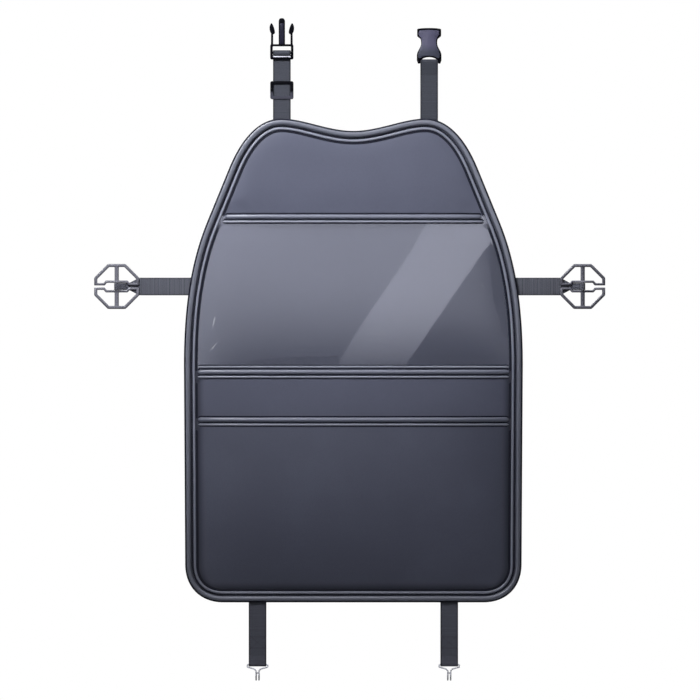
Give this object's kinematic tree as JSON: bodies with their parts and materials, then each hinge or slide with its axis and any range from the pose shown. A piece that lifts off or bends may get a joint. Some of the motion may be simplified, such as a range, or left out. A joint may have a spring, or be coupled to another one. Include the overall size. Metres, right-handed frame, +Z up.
{
  "type": "car seat back organizer",
  "caption": "Soft panel for the back of a car seat: clear tablet pocket, two lower pockets, buckle straps on top, side straps with anchor plates, bottom straps with wire hooks.",
  "frame": {"origin": "middle of the panel's flat rear face, which lies on the seat's back", "axes": "+Y out of the rear face, towards the seat; the front faces -Y; +Z up"},
  "size_m": [0.725, 0.0327, 0.941],
  "materials": {
    "leatherette": "synthetic leather, slight sheen",
    "pocket_leatherette": "synthetic leather, slight sheen",
    "binding_leatherette": "synthetic leather, slight sheen",
    "rear_cloth": "non-woven cloth",
    "foam": "padding board",
    "clear_film": "clear soft film",
    "webbing": "ribbed webbing",
    "black_plastic": "moulded, satin",
    "grey_plastic": "moulded, satin",
    "steel": "bright wire"
  },
  "bodies": {
    "panel": {"back_cloth": "rear_cloth", "foam_core": "foam", "face_panel": "leatherette", "edge_binding": "binding_leatherette", "edge_piping": "binding_leatherette", "tablet_window": "clear_film", "window_top_binding": "binding_leatherette", "window_top_piping": "binding_leatherette", "window_bottom_piping": "binding_leatherette", "middle_pocket": "pocket_leatherette", "middle_pocket_binding": "binding_leatherette", "middle_pocket_piping": "binding_leatherette", "lower_pocket": "pocket_leatherette", "lower_pocket_binding": "binding_leatherette", "lower_pocket_piping": "binding_leatherette", "left_top_strap": "webbing", "right_top_strap": "webbing", "left_side_strap": "webbing", "right_side_strap": "webbing", "left_bottom_strap": "webbing", "right_bottom_strap": "webbing"},
    "slider": {"strap_slider": "black_plastic"},
    "male_half": {"male_buckle": "black_plastic"},
    "female_half": {"female_buckle": "black_plastic"},
    "left_plate": {"left_anchor_plate": "grey_plastic"},
    "right_plate": {"right_anchor_plate": "grey_plastic"},
    "left_hook": {"left_hook": "steel"},
    "right_hook": {"right_hook": "steel"}
  },
  "joints": [
    {"name": "slider_slide", "type": "slide", "parent": "panel", "child": "slider", "axis": [0, 0, 1], "range_m": [-0.023, 0.025]},
    {"name": "male_turn", "type": "hinge", "parent": "panel", "child": "male_half", "pos_m": [-0.1015, -0.005, 0.4368], "axis": [-1, 0, 0], "range_deg": [0, 90]},
    {"name": "female_turn", "type": "hinge", "parent": "panel", "child": "female_half", "pos_m": [0.1075, -0.005, 0.4239], "axis": [-1, 0, 0], "range_deg": [-90, 90]},
    {"name": "left_plate_turn", "type": "hinge", "parent": "panel", "child": "left_plate", "pos_m": [-0.3357, -0.0062, 0.1052], "axis": [0, 0, -1], "range_deg": [0, 60]},
    {"name": "right_plate_turn", "type": "hinge", "parent": "panel", "child": "right_plate", "pos_m": [0.3253, -0.0062, 0.1052], "axis": [0, 0, 1], "range_deg": [0, 60]},
    {"name": "left_hook_swing", "type": "hinge", "parent": "panel", "child": "left_hook", "pos_m": [-0.136, -0.004, -0.4313], "axis": [1, 0, 0], "range_deg": [-85, 85]},
    {"name": "right_hook_swing", "type": "hinge", "parent": "panel", "child": "right_hook", "pos_m": [0.136, -0.004, -0.4313], "axis": [1, 0, 0], "range_deg": [-85, 85]}
  ]
}
